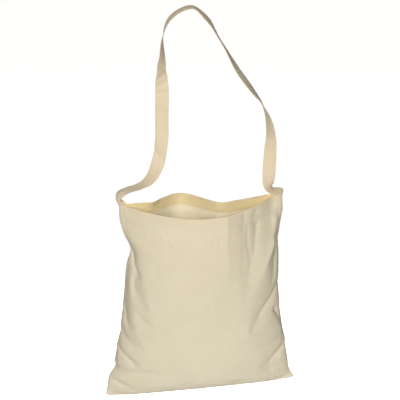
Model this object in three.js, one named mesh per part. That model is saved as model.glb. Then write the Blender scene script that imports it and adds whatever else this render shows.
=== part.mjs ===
// A natural cotton tote bag with one long shoulder strap, filled out softly and hung by the strap.
// Two panels are sewn together down both sides and along the bottom. Each has a hem turned in at
// the mouth, and the strap's two ends are folded round the tops of the side seams and sewn down.
// Millimetres, +Z up, front towards -Y. The origin is under the strap where it hangs.
import * as THREE from "three";

// Driving dimensions
const PANEL_WIDTH = 380; // each panel flat, seam to seam
const PANEL_HEIGHT = 420; // each panel flat, mouth to bottom seam
const CLOTH = 1.2; // wall of a panel
const GAP = 0.3; // clearance between pieces that are sewn together
const HEM_THICKNESS = 1; // cloth turned in at the mouth
const STRAP_WIDTH = 25;
const STRAP_THICKNESS = 1.8; // the strap is cloth folded in four
const SEWN_LENGTH = 38; // strap sewn down over a side seam, below the mouth
const STRAP_SPINE = 3; // flat back of the fold where the strap is folded round a seam
const FRONT_LAP = 8; // of the strap's width, the part that is sewn to the front panel
const BACK_CLOSING = 1.1; // the back part of the strap closes on its seam this much more than the front
const BOTTOM_SAG = 10; // the bottom hangs below its two corners
const MOUTH_SAG = { front: 15.7, back: 0 }; // the middle of a mouth edge hangs below its two corners
const HANG = { x: -20, z: 357.6 }; // under the top of the strap, from the mouth's middle
const FOLD_FADE = 0.7; // share of a fold's depth that is gone at its far end
const SEAM_EASE = 10; // folds die away this close to a side seam
const PRESS_SHARE = 0.6; // a fold never takes more than this of the room to the seams' plane

// Mesh steps, and the part of a panel's mesh that its hem follows
const FRONT_STEPS = { across: 34, down: 36 };
const BACK_STEPS = { across: 28, down: 36 };
const STRAP_STEPS = 96;
const SEWN_SHARES = [0, 0.25, 0.5, 0.75, 1]; // places down a sewn strap end
const HEM_ROWS = 2;
const HEM_END_COLUMNS = 2; // a hem stops this far short of the bulky side seams

// Unbleached cotton, a little yellower where it is doubled at the hem
const PANEL_COLOUR = 0xe0d4ba;
const HEM_COLOUR = 0xd8c69e;
const STRAP_COLOUR = 0xe2d2b2;

// The filled bag at levels down the cloth. along is the distance down the panel, drop the level's
// depth below the mouth, left and right the side seams' distances from the middle, and front and
// back how far the panels belly out. tuck shapes a level: below 1 is boxy, 1 round and 2 sharp.
const LEVELS = [
  { along: 0, drop: 0, left: 151, right: 153, front: 60, back: 4, tuck: 2.2 },
  { along: 30, drop: 30, left: 150.5, right: 154.5, front: 62, back: 10, tuck: 2.1 },
  { along: 60, drop: 60, left: 143.5, right: 151, front: 63, back: 19, tuck: 1.45 },
  { along: 88, drop: 88, left: 133, right: 147.5, front: 63, back: 28, tuck: 1 },
  { along: 120, drop: 119, left: 140, right: 149.5, front: 63, back: 36, tuck: 0.92 },
  { along: 190, drop: 188, left: 148, right: 151, front: 61, back: 45, tuck: 0.86 },
  { along: 260, drop: 257, left: 157, right: 158, front: 56, back: 45, tuck: 0.86 },
  { along: 325, drop: 318, left: 168, right: 168, front: 48, back: 39, tuck: 0.9 },
  { along: 365, drop: 354, left: 177, right: 174.5, front: 38, back: 31, tuck: 1 },
  { along: 395, drop: 381, left: 185, right: 180.5, front: 25, back: 21, tuck: 1.2 },
  { along: 410, drop: 393, left: 188, right: 186, front: 14, back: 12, tuck: 1.5 },
  { along: 420, drop: 400, left: 190, right: 191, front: 0, back: 0, tuck: 2 },
];

// The side seams are drawn in by small tucks, and stand out where the depth is negative.
const SEAM_TUCKS = {
  left: [
    { along: 262, spread: 12, depth: 1.5 },
    { along: 298, spread: 12, depth: -1.5 },
    { along: 347, spread: 10, depth: 4 },
    { along: 376, spread: 12, depth: -2.5 },
  ],
  right: [
    { along: 182, spread: 9, depth: 1.5 },
    { along: 249, spread: 9, depth: 1 },
    { along: 312, spread: 12, depth: -1.5 },
    { along: 388, spread: 9, depth: 1.5 },
  ],
};

// The panels lean at the mouth: at and spread run across the mouth, lean is the move backwards
// there, and reach how far down the cloth it dies away. The back panel hangs in a wave, and the
// front panel is drawn against it at the right corner.
const MOUTH_WAVES = {
  front: [{ at: 137, spread: 17, lean: 37, reach: 60 }],
  back: [
    { at: -40, spread: 44, lean: 33, reach: 110 },
    { at: 34, spread: 36, lean: -28, reach: 110 },
    { at: 92, spread: 42, lean: -21, reach: 90 },
  ],
};

// Folds in the cloth, each from one flat place of a panel to another, measured across from the
// middle and along from the mouth. depth is a valley's, and negative for a ridge.
const FRONT_FOLDS = [
  { name: "left notch", across: -186, along: 90, toAcross: -150, toAlong: 150, width: 12, depth: 10 },
  { name: "right corner", across: 123, along: 0, toAcross: 108, toAlong: 17, width: 10, depth: 4 },
  { name: "right hollow", across: 96, along: 10, toAcross: 78, toAlong: 128, width: 34, depth: 7 },
  { name: "right valley", across: 93, along: 28, toAcross: 92, toAlong: 106, width: 10, depth: 4 },
  { name: "right ridge", across: 159, along: 42, toAcross: 102, toAlong: 140, width: 14, depth: -5 },
  { name: "right side", across: 170, along: 79, toAcross: 151, toAlong: 164, width: 11, depth: 4 },
  { name: "right waist", across: 170, along: 186, toAcross: 105, toAlong: 229, width: 13, depth: 9 },
  { name: "right dent", across: 158, along: 231, toAcross: 179, toAlong: 266, width: 12, depth: 6 },
  { name: "right low", across: 178, along: 322, toAcross: 133, toAlong: 352, width: 12, depth: 8 },
  { name: "left hip", across: -182, along: 212, toAcross: -168, toAlong: 236, width: 12, depth: 6 },
  { name: "left waist", across: -188, along: 262, toAcross: -148, toAlong: 280, width: 12, depth: 7 },
  { name: "left low", across: -186, along: 298, toAcross: -144, toAlong: 325, width: 12, depth: 9 },
  { name: "left foot", across: -178, along: 353, toAcross: -101, toAlong: 342, width: 12, depth: 5 },
  { name: "left corner", across: -180, along: 374, toAcross: -142, toAlong: 388, width: 12, depth: 4 },
  { name: "right foot", across: 188, along: 409, toAcross: 157, toAlong: 418, width: 12, depth: 5 },
];
const BACK_FOLDS = [
  { name: "left notch", across: -188, along: 90, toAcross: -120, toAlong: 176, width: 16, depth: 12 },
  { name: "left valley", across: -100, along: 110, toAcross: -64, toAlong: 220, width: 22, depth: 7 },
  { name: "right valley", across: 92, along: 110, toAcross: 48, toAlong: 230, width: 22, depth: 7 },
  { name: "right waist", across: 178, along: 182, toAcross: 112, toAlong: 246, width: 15, depth: 10 },
  { name: "left low", across: -186, along: 290, toAcross: -122, toAlong: 340, width: 14, depth: 9 },
  { name: "right low", across: 184, along: 330, toAcross: 130, toAlong: 356, width: 14, depth: 9 },
  { name: "left foot", across: -182, along: 356, toAcross: -110, toAlong: 348, width: 13, depth: 6 },
];

// The strap's free run from the left mouth corner over the hanging point to the right one, from
// the mouth's middle. turn is the angle of its width: 0 lies front to back, 90 across the front.
// fold closes the strap round its line, as it is where it is sewn round the seams, and front is
// the part of its width in front of that line.
const HALF = STRAP_WIDTH / 2;
const STRAP_RUN = [
  { x: -156, y: 0, z: 4, turn: 0, fold: 44, front: FRONT_LAP },
  { x: -157, y: 0, z: 13, turn: 2, fold: 26, front: FRONT_LAP + 2 },
  { x: -153, y: 0, z: 20.5, turn: 5, fold: 18, front: HALF },
  { x: -143, y: 0, z: 25.5, turn: 7, fold: 8, front: HALF },
  { x: -116, y: 0, z: 33, turn: 9, fold: 0, front: HALF },
  { x: -96, y: 0, z: 44, turn: 32, fold: 0, front: HALF },
  { x: -81, y: 0, z: 72, turn: 64, fold: 0, front: HALF },
  { x: -73, y: 0, z: 111, turn: 70, fold: 0, front: HALF },
  { x: -71, y: 0, z: 165, turn: 88, fold: 0, front: HALF },
  { x: -70, y: 0, z: 215, turn: 96, fold: 0, front: HALF },
  { x: -70, y: 0, z: 246, turn: 122, fold: 0, front: HALF },
  { x: -69, y: 0, z: 277, turn: 148, fold: 0, front: HALF },
  { x: -68, y: 0, z: 306, turn: 167, fold: 0, front: HALF },
  { x: -56, y: 0, z: 339, turn: 180, fold: 0, front: HALF },
  { x: -36, y: 0, z: 354.5, turn: 180, fold: 0, front: HALF },
  { x: -14, y: 0, z: 359, turn: 183, fold: 0, front: HALF },
  { x: 5, y: 0, z: 343.5, turn: 196, fold: 0, front: HALF },
  { x: 36, y: 0, z: 295, turn: 185, fold: 0, front: HALF },
  { x: 68, y: 0, z: 240, turn: 204, fold: 0, front: HALF },
  { x: 93, y: 0, z: 205, turn: 198, fold: 0, front: HALF },
  { x: 111, y: 0, z: 179, turn: 184, fold: 0, front: HALF },
  { x: 122, y: 0, z: 156, turn: 170, fold: 0, front: HALF },
  { x: 128, y: 0, z: 130, turn: 152, fold: 0, front: HALF },
  { x: 129.5, y: 0, z: 100, turn: 132, fold: 0, front: HALF },
  { x: 128.5, y: 0, z: 66, turn: 114, fold: 0, front: HALF },
  { x: 128, y: 1, z: 34, turn: 94, fold: 0, front: HALF },
  { x: 128.5, y: 2, z: 17, turn: 66, fold: 0, front: HALF },
  { x: 133, y: 3, z: 7.5, turn: 28, fold: 0, front: HALF },
  { x: 142, y: 3, z: 5.5, turn: 4, fold: 4, front: HALF },
  { x: 149, y: 2, z: 9.5, turn: 0, fold: 16, front: FRONT_LAP + 2 },
  { x: 154, y: 1, z: 11, turn: 0, fold: 32, front: FRONT_LAP },
  { x: 157, y: 0, z: 4, turn: 0, fold: 46, front: FRONT_LAP },
];

// Smooth curves through the named columns of a table, read at any place along its key.
function tableCurve(rows, places, names) {
  const values = rows.flatMap((row) => names.map((name) => row[name]));
  const spline = new THREE.CubicInterpolant(places, values, names.length);
  return (place) => {
    const read = spline.evaluate(place);
    return Object.fromEntries(names.map((name, i) => [name, read[i]]));
  };
}

const levelNames = ["drop", "left", "right", "front", "back", "tuck"];
const levelAt = tableCurve(LEVELS, LEVELS.map((row) => row.along), levelNames);
const bump = (distance, spread) => Math.exp(-((distance / spread) ** 2));

// One level of a panel as a curve from the left seam to the right one, on the panel's inner face.
class PanelLevel extends THREE.Curve {
  constructor(side, along) {
    super();
    this.side = side;
    this.along = along;
    this.level = levelAt(along);
    for (const [end, tucks] of Object.entries(SEAM_TUCKS)) {
      tucks.forEach((t) => (this.level[end] -= t.depth * bump(along - t.along, t.spread)));
    }
  }

  lean(x) {
    const leanOf = (wave) => wave.lean * bump(x - wave.at, wave.spread) * bump(this.along, wave.reach);
    return MOUTH_WAVES[this.side].reduce((sum, wave) => sum + leanOf(wave), 0);
  }

  getPoint(t) {
    const { drop, left, right, front, back, tuck } = this.level;
    const angle = Math.PI * t;
    const x = (right - left) / 2 - ((right + left) / 2) * Math.cos(angle);
    const round = Math.sin(angle) ** tuck;
    const away = this.side === "front" ? -1 : 1;
    const belly = Math.max(this.side === "front" ? front : back, 0) * round;
    const down = this.along / PANEL_HEIGHT;
    const mouthSag = MOUTH_SAG[this.side] * Math.sin(angle) ** 2 * (1 - down);
    const bottomSag = BOTTOM_SAG * Math.sqrt(Math.sin(angle)) * down ** 4;
    const y = away * (GAP / 2 + belly) + this.lean(x) * round;
    return new THREE.Vector3(x, y, -drop - mouthSag - bottomSag);
  }
}

// How deep the folds press into a panel at a flat place.
function foldDepth(folds, across, along) {
  return folds.reduce((depth, fold) => {
    const start = new THREE.Vector2(fold.across, fold.along);
    const run = new THREE.Vector2(fold.toAcross, fold.toAlong).sub(start);
    const place = new THREE.Vector2(across, along).sub(start);
    const share = place.dot(run) / run.lengthSq();
    const near = THREE.MathUtils.clamp(share, 0, 1);
    const aside = place.addScaledVector(run, -near).length();
    return depth + fold.depth * bump(aside, fold.width) * (1 - FOLD_FADE * near);
  }, 0);
}

// Unit normals of a grid of points, on the side that faces away from the bag's hollow.
function gridNormals(grid) {
  const last = { row: grid.length - 1, column: grid[0].length - 1 };
  return grid.map((points, row) =>
    points.map((_, column) => {
      const right = grid[row][Math.min(column + 1, last.column)].clone();
      right.sub(grid[row][Math.max(column - 1, 0)]);
      const down = grid[Math.min(row + 1, last.row)][column].clone();
      down.sub(grid[Math.max(row - 1, 0)][column]);
      return down.cross(right).normalize();
    }),
  );
}

// A grid moved along its normals.
function offsetGrid(grid, normals, distance) {
  return grid.map((points, row) =>
    points.map((point, column) => point.clone().addScaledVector(normals[row][column], distance)),
  );
}

// A closed sheet between an outer and an inner grid of points.
function sheetGeometry(outer, inner) {
  const rows = outer.length;
  const columns = outer[0].length;
  const points = [...outer.flat(), ...inner.flat()];
  const at = (face, row, column) => (face * rows + row) * columns + column;
  const index = [];
  const quad = (a, b, c, d) => index.push(a, b, c, a, c, d);
  for (let row = 0; row < rows - 1; row++) {
    for (let column = 0; column < columns - 1; column++) {
      quad(at(0, row, column), at(0, row + 1, column), at(0, row + 1, column + 1), at(0, row, column + 1));
      quad(at(1, row, column), at(1, row, column + 1), at(1, row + 1, column + 1), at(1, row + 1, column));
    }
    const end = columns - 1;
    quad(at(0, row, 0), at(1, row, 0), at(1, row + 1, 0), at(0, row + 1, 0));
    quad(at(0, row, end), at(0, row + 1, end), at(1, row + 1, end), at(1, row, end));
  }
  for (let column = 0; column < columns - 1; column++) {
    const end = rows - 1;
    quad(at(0, 0, column), at(0, 0, column + 1), at(1, 0, column + 1), at(1, 0, column));
    quad(at(0, end, column), at(1, end, column), at(1, end, column + 1), at(0, end, column + 1));
  }
  const geometry = new THREE.BufferGeometry().setFromPoints(points);
  geometry.setIndex(index);
  geometry.computeVertexNormals();
  return geometry;
}

// The inner face of a panel as rows of points from left to right. The back panel's rows run from
// right to left, so that both face outwards.
function panelGrid(side, folds, steps) {
  const acrossAt = (j) => PANEL_WIDTH * (j / steps.across - 0.5);
  const alongAt = (i) => (PANEL_HEIGHT * i) / steps.down;
  const rows = [];
  for (let i = 0; i <= steps.down; i++) {
    const level = new PanelLevel(side, alongAt(i));
    rows.push(level.getSpacedPoints(steps.across));
  }
  const normals = gridNormals(rows);
  const away = side === "front" ? 1 : -1;
  rows.forEach((points, i) =>
    points.forEach((point, j) => {
      const clearOfSeam = 1 - Math.exp((Math.abs(acrossAt(j)) - PANEL_WIDTH / 2) / SEAM_EASE);
      const fold = foldDepth(folds, acrossAt(j), alongAt(i)) * clearOfSeam;
      const press = Math.min(fold, PRESS_SHARE * Math.abs(point.y));
      point.addScaledVector(normals[i][j], -press * away);
    }),
  );
  return side === "front" ? rows : rows.map((points) => points.reverse());
}

// A named piece of unbleached cotton.
function cottonPiece(name, color, geometry) {
  const cotton = new THREE.MeshStandardMaterial({ color, roughness: 0.92, metalness: 0 });
  const piece = new THREE.Mesh(geometry, cotton);
  piece.name = name;
  return piece;
}

// A panel, and its hem lying inside it from the mouth down, a gap away.
function panelAndHem(side, folds, steps) {
  const face = panelGrid(side, folds, steps);
  const normals = gridNormals(face);
  const panel = sheetGeometry(offsetGrid(face, normals, CLOTH), face);
  const mouthBand = (grid) =>
    grid.slice(0, HEM_ROWS + 1).map((row) => row.slice(HEM_END_COLUMNS, -HEM_END_COLUMNS));
  const outer = mouthBand(offsetGrid(face, normals, -GAP));
  const inner = mouthBand(offsetGrid(face, normals, -GAP - HEM_THICKNESS));
  const hem = sheetGeometry(outer, inner);
  return [cottonPiece(`${side}_panel`, PANEL_COLOUR, panel), cottonPiece(`${side}_hem`, HEM_COLOUR, hem)];
}

// The strap across where it is sewn over a side seam: front edge, spine and back edge, each point
// with its outward direction. Each of its two laps lies flat on a panel, a gap away.
function sewnSection(end, along) {
  const laps = { front: FRONT_LAP, back: STRAP_WIDTH - FRONT_LAP };
  const [front, back] = Object.entries(laps).map(([side, lap]) => {
    const curve = new PanelLevel(side, along);
    const share = lap / curve.getLength();
    const seam = curve.getPoint(end === "left" ? 0 : 1);
    const inward = curve.getPointAt(end === "left" ? share : 1 - share).sub(seam);
    const hand = (side === "front") === (end === "left") ? 1 : -1;
    const normal = new THREE.Vector3(hand * inward.y, -hand * inward.x, 0).normalize();
    const spine = seam.addScaledVector(normal, CLOTH + GAP);
    const edge = spine.clone().add(inward.setLength(lap));
    return { edge: { point: edge, normal }, spine: { point: spine, normal } };
  });
  return [front.edge, front.spine, back.spine, back.edge];
}

// The strap across at a place on its free run.
function freeSection(place, tangent, { turn, fold, front: frontWidth }) {
  const depthwise = new THREE.Vector3(0, 1, 0);
  depthwise.addScaledVector(tangent, -tangent.y).normalize();
  const raised = tangent.clone().cross(depthwise);
  const turned = THREE.MathUtils.degToRad(turn);
  const wide = depthwise.clone().multiplyScalar(Math.cos(turned)).addScaledVector(raised, Math.sin(turned));
  const outward = tangent.clone().cross(wide);
  const flap = (hand, width, angle) => {
    const closing = THREE.MathUtils.degToRad(Math.max(angle, 0));
    const [open, closed] = [Math.cos(closing), Math.sin(closing)];
    const normal = outward.clone().multiplyScalar(open).addScaledVector(wide, hand * closed);
    const along = wide.clone().multiplyScalar(hand * open).addScaledVector(outward, -closed);
    const spine = place.clone().addScaledVector(wide, (hand * STRAP_SPINE) / 2);
    const edge = spine.clone().addScaledVector(along, width - STRAP_SPINE / 2);
    return { edge: { point: edge, normal }, spine: { point: spine, normal } };
  };
  const front = flap(-1, frontWidth, fold);
  const back = flap(1, STRAP_WIDTH - frontWidth, fold * BACK_CLOSING);
  return [front.edge, front.spine, back.spine, back.edge];
}

function strap() {
  const run = new THREE.CatmullRomCurve3(STRAP_RUN.map(({ x, y, z }) => new THREE.Vector3(x, y, z)));
  const shapeAt = tableCurve(STRAP_RUN, STRAP_RUN.map((_, i) => i), ["turn", "fold", "front"]);
  const sewn = SEWN_SHARES.map((share) => share * SEWN_LENGTH);
  const sections = sewn.toReversed().map((along) => sewnSection("left", along));
  for (let i = 0; i <= STRAP_STEPS; i++) {
    const t = run.getUtoTmapping(i / STRAP_STEPS);
    const shape = shapeAt(t * (STRAP_RUN.length - 1));
    sections.push(freeSection(run.getPoint(t), run.getTangent(t), shape));
  }
  sections.push(...sewn.map((along) => sewnSection("right", along)));
  const face = (thickness) =>
    sections.map((section) =>
      section.map(({ point, normal }) => point.clone().addScaledVector(normal, thickness)),
    );
  return cottonPiece("strap", STRAP_COLOUR, sheetGeometry(face(STRAP_THICKNESS), face(0)));
}

const bag = new THREE.Group();
bag.name = "tote_bag";
bag.position.set(-HANG.x, 0, -HANG.z);
bag.add(...panelAndHem("front", FRONT_FOLDS, FRONT_STEPS));
bag.add(...panelAndHem("back", BACK_FOLDS, BACK_STEPS));
bag.add(strap());

const part = new THREE.Group();
part.add(bag);
export default part;
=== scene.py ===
# %% [markdown]
# # A cotton tote bag, hung by its strap
# The bag is two panels of unbleached cotton, sewn together at the sides and the bottom, with a
# hem turned in at the mouth and one long strap sewn over the side seams. A plain construction
# model of it comes in as a fixed frame. This lesson dresses that frame in cloth: each piece is
# made again with finer folds, rounded edges, stitches and a woven finish, in the same place.

# %% Load the frame
import math
from collections import namedtuple

import bpy
import numpy as np
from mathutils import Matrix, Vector, noise


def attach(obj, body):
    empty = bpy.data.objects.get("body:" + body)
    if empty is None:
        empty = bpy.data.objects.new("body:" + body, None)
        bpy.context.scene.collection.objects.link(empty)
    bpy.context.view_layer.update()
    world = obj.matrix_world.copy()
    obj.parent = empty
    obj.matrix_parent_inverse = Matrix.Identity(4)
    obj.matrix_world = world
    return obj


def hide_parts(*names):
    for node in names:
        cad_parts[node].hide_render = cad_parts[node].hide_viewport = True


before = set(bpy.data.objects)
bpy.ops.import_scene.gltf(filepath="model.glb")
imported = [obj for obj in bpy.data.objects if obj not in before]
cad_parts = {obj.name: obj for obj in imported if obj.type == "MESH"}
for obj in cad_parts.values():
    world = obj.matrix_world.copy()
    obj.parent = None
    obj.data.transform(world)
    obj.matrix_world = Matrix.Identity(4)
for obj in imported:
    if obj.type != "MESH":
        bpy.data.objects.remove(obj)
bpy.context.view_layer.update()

print("nodes in the frame:", sorted(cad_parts))

# %% [markdown]
# ## The camera
# The picture is taken from a little to the left of the bag and from above, with a long lens, so
# that the sides hardly converge. All sizes of the bag are given in millimetres from the middle of
# its mouth, because that is how a bag is measured, and the frame's origin is the hanging point
# under the strap. One helper does that step from bag millimetres to the frame's metres.

# %% Place the camera
MM = 0.001
HANG = np.array((-20.0, 0.0, 357.6))  # the frame's origin, from the middle of the mouth
AZIMUTH = math.radians(-10)
ELEVATION = math.radians(23)
CAMERA_DISTANCE = 2.0  # in metres
CAMERA_AIM = np.array((-2.0, 0.0, -2.0))
PHOTO_WIDTH = 400  # in pixels
FOCAL_LENGTH = 1081  # in the same pixels


def to_frame(points):
    """Points in millimetres from the mouth's middle, as metres in the frame."""
    return (np.asarray(points, float) - HANG) * MM


def direction(azimuth, elevation):
    """A unit vector from the bag towards a place round it. Azimuth 0 is straight in front."""
    flat = math.cos(elevation)
    return Vector((math.sin(azimuth) * flat, -math.cos(azimuth) * flat, math.sin(elevation)))


toward_camera = direction(AZIMUTH, ELEVATION)
camera_data = bpy.data.cameras.new("camera")
camera_data.lens = FOCAL_LENGTH / PHOTO_WIDTH * camera_data.sensor_width
camera = bpy.data.objects.new("camera", camera_data)
camera.location = Vector(to_frame(CAMERA_AIM)) + CAMERA_DISTANCE * toward_camera
camera.rotation_euler = (-toward_camera).to_track_quat("-Z", "Y").to_euler()
bpy.context.scene.collection.objects.link(camera)
bpy.context.scene.camera = camera
print("camera lens: %.1f mm" % camera_data.lens)

# %% [markdown]
# ## The filled bag as levels
# A filled bag could be sculpted by hand, or blown up by a simulation from two flat panels. Here a
# short table gives its outline instead, one row for each level down the cloth, so that the
# silhouette is under control and the simulation later only has to add the wrinkles. A smooth curve
# is read through each column of the table. The front edge of the mouth sags in the middle, and a few
# waves lean the mouth's edges in and out.

# %% Levels of the bag
PANEL_WIDTH = 380.0
PANEL_HEIGHT = 420.0
BOTTOM_SAG = 10.0
MOUTH_SAG = {"front": 15.7, "back": 0.0}

# along runs down the cloth and drop is how far that lies below the mouth. left to back are the bag's
# reach to each side there, and tuck is how sharply the level closes at its seams.
Level = namedtuple("Level", "along drop left right front back tuck")
LEVELS = [
    Level(0, 0, 151, 153, 60, 4, 2.2),
    Level(30, 30, 150.5, 154.5, 62, 10, 2.1),
    Level(60, 60, 143.5, 151, 63, 19, 1.45),
    Level(88, 88, 133, 147.5, 63, 28, 1.0),
    Level(120, 119, 140, 149.5, 63, 36, 0.92),
    Level(190, 188, 148, 151, 61, 45, 0.86),
    Level(260, 257, 157, 158, 56, 45, 0.86),
    Level(325, 318, 168, 168, 48, 39, 0.9),
    Level(365, 354, 177, 174.5, 38, 31, 1.0),
    Level(395, 381, 185, 180.5, 25, 21, 1.2),
    Level(410, 393, 188, 186, 14, 12, 1.5),
    Level(420, 400, 190, 191, 0, 0, 2.0),
]

# at is a wave's place across the bag and spread its width. lean is how far it leans back at the
# mouth, and reach how far down it fades.
Wave = namedtuple("Wave", "at spread lean reach")
MOUTH_WAVES = {
    "front": [Wave(137, 17, 37, 60)],
    "back": [Wave(-40, 44, 33, 110), Wave(34, 36, -28, 110), Wave(92, 42, -21, 90)],
}


def bump(distance, spread):
    """1 at no distance, falling smoothly to nothing past the spread."""
    return np.exp(-((distance / spread) ** 2))


def read_column(keys, values, places):
    """A smooth curve through the values at the keys, read at the places."""
    keys, values = np.asarray(keys, float), np.asarray(values, float)
    places = np.asarray(places, float)
    slopes = np.gradient(values, keys)
    i = np.clip(np.searchsorted(keys, places, side="right") - 1, 0, len(keys) - 2)
    step = keys[i + 1] - keys[i]
    t = (places - keys[i]) / step
    start = (1 + 2 * t) * (1 - t) ** 2 * values[i] + t * (1 - t) ** 2 * step * slopes[i]
    end = t * t * (3 - 2 * t) * values[i + 1] + t * t * (t - 1) * step * slopes[i + 1]
    return start + end


def level_at(along):
    """The row of the table at a distance down the cloth."""
    keys = [row.along for row in LEVELS]
    return Level(*[float(read_column(keys, [getattr(row, name) for row in LEVELS], along))
                   for name in Level._fields])


waist = min(LEVELS, key=lambda row: row.left + row.right)
print("waist of the bag: %.0f mm wide, %.0f mm down" % (waist.left + waist.right, waist.drop))

# %% [markdown]
# ## A panel's surface
# Each level is one curve from the left seam to the right one, and a panel is a loft through the
# levels. The points are spread evenly along each curve, because cloth doesn't stretch: a square of
# the flat panel has to stay nearly a square on the filled bag, or the weave would look drawn out.
# The side seams get a few small tucks, where the folds draw them in, so the outline isn't smooth.

# %% Loft a panel
OUTWARD = {"front": -1.0, "back": 1.0}
CURVE_SAMPLES = 600

Tuck = namedtuple("Tuck", "along spread depth")
SEAM_TUCKS = {
    "left": [Tuck(262, 12, 1.5), Tuck(298, 12, -1.5), Tuck(347, 10, 4), Tuck(376, 12, -2.5)],
    "right": [Tuck(182, 9, 1.5), Tuck(249, 9, 1.0), Tuck(312, 12, -1.5), Tuck(388, 9, 1.5)],
}


def run_lengths(points):
    """How far along a line of points each of them is from the first."""
    return np.concatenate([[0], np.cumsum(np.linalg.norm(np.diff(points, axis=0), axis=1))])


def level_curve(side, along, shares):
    """Points of a panel's level at shares of the way from the left seam to the right one."""
    level = level_at(along)
    tucked = {end: sum(tuck.depth * bump(along - tuck.along, tuck.spread) for tuck in tucks)
              for end, tucks in SEAM_TUCKS.items()}
    level = level._replace(left=level.left - tucked["left"], right=level.right - tucked["right"])
    angle = np.linspace(0, math.pi, CURVE_SAMPLES)
    x = (level.right - level.left) / 2 - (level.right + level.left) / 2 * np.cos(angle)
    middle = np.sin(angle).clip(0)
    rounding = middle ** level.tuck
    y = OUTWARD[side] * max(getattr(level, side), 0) * rounding
    lean = sum(wave.lean * bump(x - wave.at, wave.spread) * bump(along, wave.reach)
               for wave in MOUTH_WAVES[side])
    y += rounding * lean
    down = along / PANEL_HEIGHT  # the mouth's sag fades on the way, the bottom's comes in at the end
    sag = MOUTH_SAG[side] * middle ** 2 * (1 - down) + BOTTOM_SAG * np.sqrt(middle) * down ** 4
    points = np.stack([x, y, -level.drop - sag], axis=1)
    length = run_lengths(points)
    places = np.asarray(shares) * length[-1]
    return np.stack([np.interp(places, length, column) for column in points.T], axis=1)


def grid_normals(grid):
    """Unit normals of a grid of points, pointing out of the bag for rows that run left to right."""
    normals = np.cross(np.gradient(grid, axis=0), np.gradient(grid, axis=1))
    return normals / np.linalg.norm(normals, axis=2, keepdims=True)


ACROSS_CELLS = 84
DOWN_CELLS = 92
shares = np.linspace(0, 1, ACROSS_CELLS + 1)
downs = np.linspace(0, PANEL_HEIGHT, DOWN_CELLS + 1)
flat_place = np.stack(np.meshgrid((shares - 0.5) * PANEL_WIDTH, downs), axis=2)
lofts = {side: np.stack([level_curve(side, along, shares) for along in downs]) for side in OUTWARD}
print("points in a panel:", flat_place.shape[0] * flat_place.shape[1])

# %% [markdown]
# ## Folds pressed into the cloth
# The larger folds are the ones that the eye remembers: the notch in the left side, the pulled
# corner at the right of the mouth, and the creases that run in from the side seams. Each is a row
# of a table, a line on the flat panel that is pressed in by a depth. Negative depths are ridges.

# %% Press the folds
Fold = namedtuple("Fold", "across along to_across to_along width depth")
FOLD_FADE = 0.7  # share of a fold's depth that is gone at its far end
SEAM_EASE = 10.0  # folds die away this close to a side seam
PRESS_SHARE = 0.6  # a fold never takes more than this of the room to the seams' plane
FOLD_TIP = 2.5  # the bottom of a fold is rounded over this much
FOLD_SPREAD = 0.7  # share of its width over which a fold falls away
FRONT_FOLDS = [
    Fold(-186, 90, -152, 132, 11, 8),
    Fold(-160, 138, -153, 178, 9, 3),
    Fold(118, 8, 104, 30, 9, 2.5),
    Fold(120, 40, 84, 140, 34, 10),
    Fold(93, 30, 88, 66, 5, 1.2),
    Fold(88, 66, 92, 106, 5, 1.0),
    Fold(171, 46, 152, 84, 13, -7),
    Fold(152, 84, 116, 140, 14, -6),
    Fold(170, 79, 151, 164, 10, 4),
    Fold(172, 184, 116, 223, 10, 6),
    Fold(158, 231, 179, 266, 9, 5),
    Fold(178, 322, 143, 346, 9, 6),
    Fold(-182, 212, -168, 236, 9, 5),
    Fold(-188, 262, -148, 280, 8, 6),
    Fold(-186, 298, -144, 325, 8, 8),
    Fold(-178, 353, -101, 342, 9, 4),
    Fold(-180, 374, -142, 388, 8, 4),
    Fold(188, 409, 157, 418, 8, 5),
]
BACK_FOLDS = [
    Fold(-188, 90, -120, 176, 15, 12),
    Fold(-100, 110, -64, 220, 22, 7),
    Fold(92, 110, 48, 230, 22, 7),
    Fold(178, 182, 112, 246, 14, 10),
    Fold(-186, 290, -122, 340, 13, 9),
    Fold(184, 330, 130, 356, 13, 9),
    Fold(-182, 356, -110, 348, 11, 6),
]


def crease(distance, width):
    """1 on a crease, falling to nothing past its width, with a bottom sharper than a bump's."""
    return np.exp(-(np.sqrt(distance ** 2 + FOLD_TIP ** 2) - FOLD_TIP) / (FOLD_SPREAD * width))


def fold_depth(folds, flat):
    """How deep the folds press in at flat places of a panel."""
    depth = np.zeros(flat.shape[:-1])
    for fold in folds:
        start = np.array((fold.across, fold.along), float)
        run = np.array((fold.to_across, fold.to_along), float) - start
        near = np.clip((flat - start) @ run / (run @ run), 0, 1)
        aside = np.linalg.norm(flat - start - near[..., None] * run, axis=-1)
        depth += fold.depth * crease(aside, fold.width) * (1 - FOLD_FADE * near)
    return depth


seam_distance = np.minimum(shares, 1 - shares) * PANEL_WIDTH
clear_of_seam = 1 - np.exp(-seam_distance / SEAM_EASE)
folded = {}
for side, folds in (("front", FRONT_FOLDS), ("back", BACK_FOLDS)):
    normals = -OUTWARD[side] * grid_normals(lofts[side])
    press = fold_depth(folds, flat_place) * clear_of_seam
    press = np.minimum(press, PRESS_SHARE * np.abs(lofts[side][..., 1]))
    folded[side] = lofts[side] - press[..., None] * normals
    print(side, "deepest fold: %.1f mm" % press.max())

# %% [markdown]
# ## Wrinkles from a cloth simulation
# A filled bag always has a little more cloth than its form needs, and the rest goes into wrinkles:
# puckers along the seams, gathers over the bottom, slack folds at the waist. That is hard to draw and
# easy to simulate. Each panel starts in its filled form, but its threads are made a touch longer, so
# the cloth has to buckle, while a light pressure holds it out. The seams, the bottom and the hem are
# pinned, so the outline stays. How far a point may move is capped, and less where the panels meet.

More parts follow.
